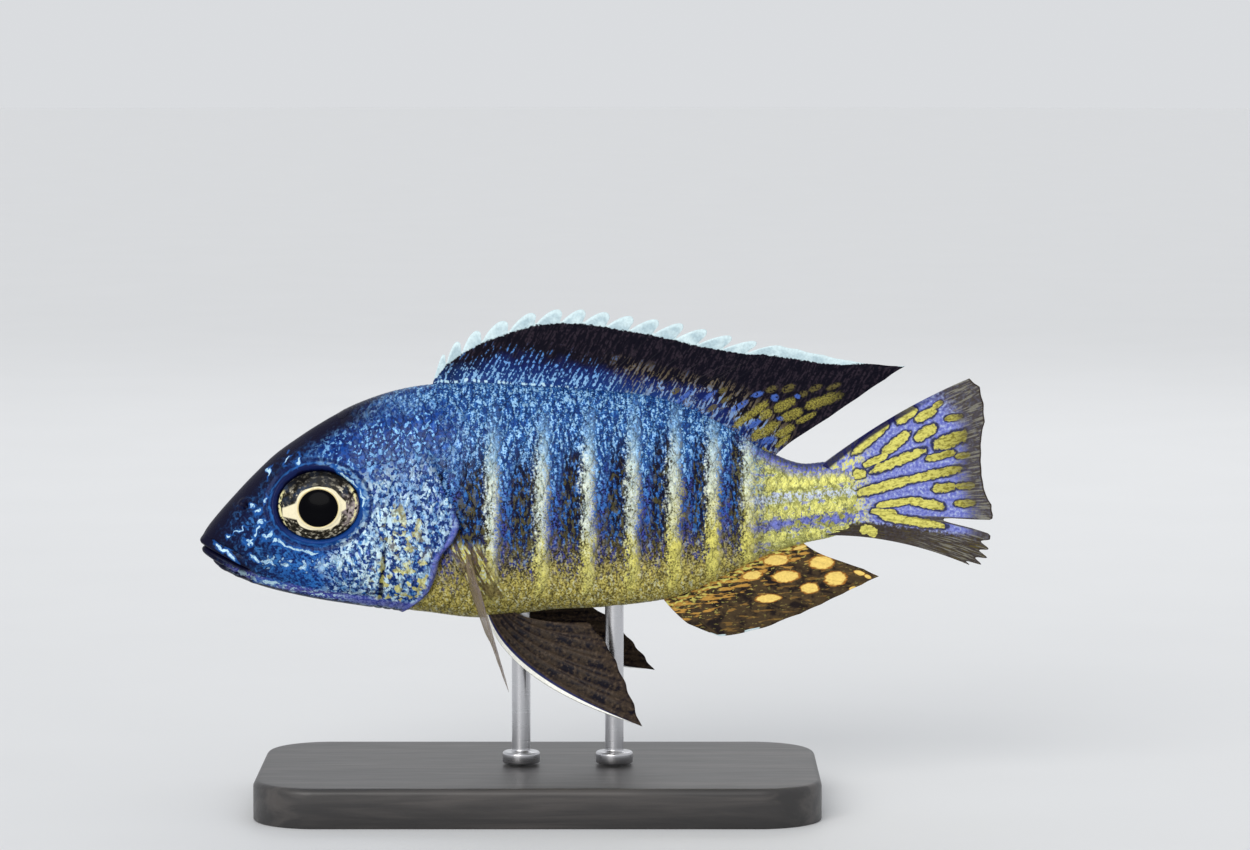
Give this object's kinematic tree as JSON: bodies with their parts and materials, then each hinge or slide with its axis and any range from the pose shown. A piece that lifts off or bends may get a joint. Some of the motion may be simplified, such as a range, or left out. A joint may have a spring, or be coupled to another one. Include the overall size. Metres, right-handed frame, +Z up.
{
  "type": "peacock cichlid model",
  "caption": "Life-size still model of a male peacock cichlid with raised fins, held over a plain flat display base by short rods.",
  "frame": {"origin": "centre of the stand base's underside, on the surface that it stands on", "axes": "+X from the fish's snout towards its tail, +Y from its left side to its right side, +Z up; the fish is pitched about four degrees nose down"},
  "size_m": [0.1106, 0.044, 0.0692],
  "materials": {
    "blue_skin": "cast and painted, satin varnish over scales",
    "flank_skin": "cast and painted, satin varnish over scales",
    "gill_skin": "cast and painted, satin varnish",
    "dark_fin": "thin cast fin, painted, satin",
    "brown_fin": "thin cast fin, painted, satin",
    "yellow_fin": "thin cast fin, painted, satin",
    "clear_fin": "thin cast fin, lightly tinted",
    "eye": "polished, painted iris under a clear dome",
    "stand_base": "satin dark grey, bevelled edge",
    "rod_steel": "turned and brushed"
  },
  "bodies": {
    "root": {"head": "blue_skin", "lower_jaw": "blue_skin", "gill_cover_left": "gill_skin", "gill_cover_right": "gill_skin", "trunk": "flank_skin", "tail": "blue_skin", "dorsal_fin": "dark_fin", "anal_fin": "brown_fin", "caudal_fin": "yellow_fin", "pectoral_fin_left": "clear_fin", "pectoral_fin_right": "clear_fin", "pelvic_fin_left": "brown_fin", "pelvic_fin_right": "brown_fin", "eye_left": "eye", "eye_right": "eye", "stand_base": "stand_base", "stand_rod_front": "rod_steel", "stand_rod_rear": "rod_steel"}
  },
  "joints": []
}
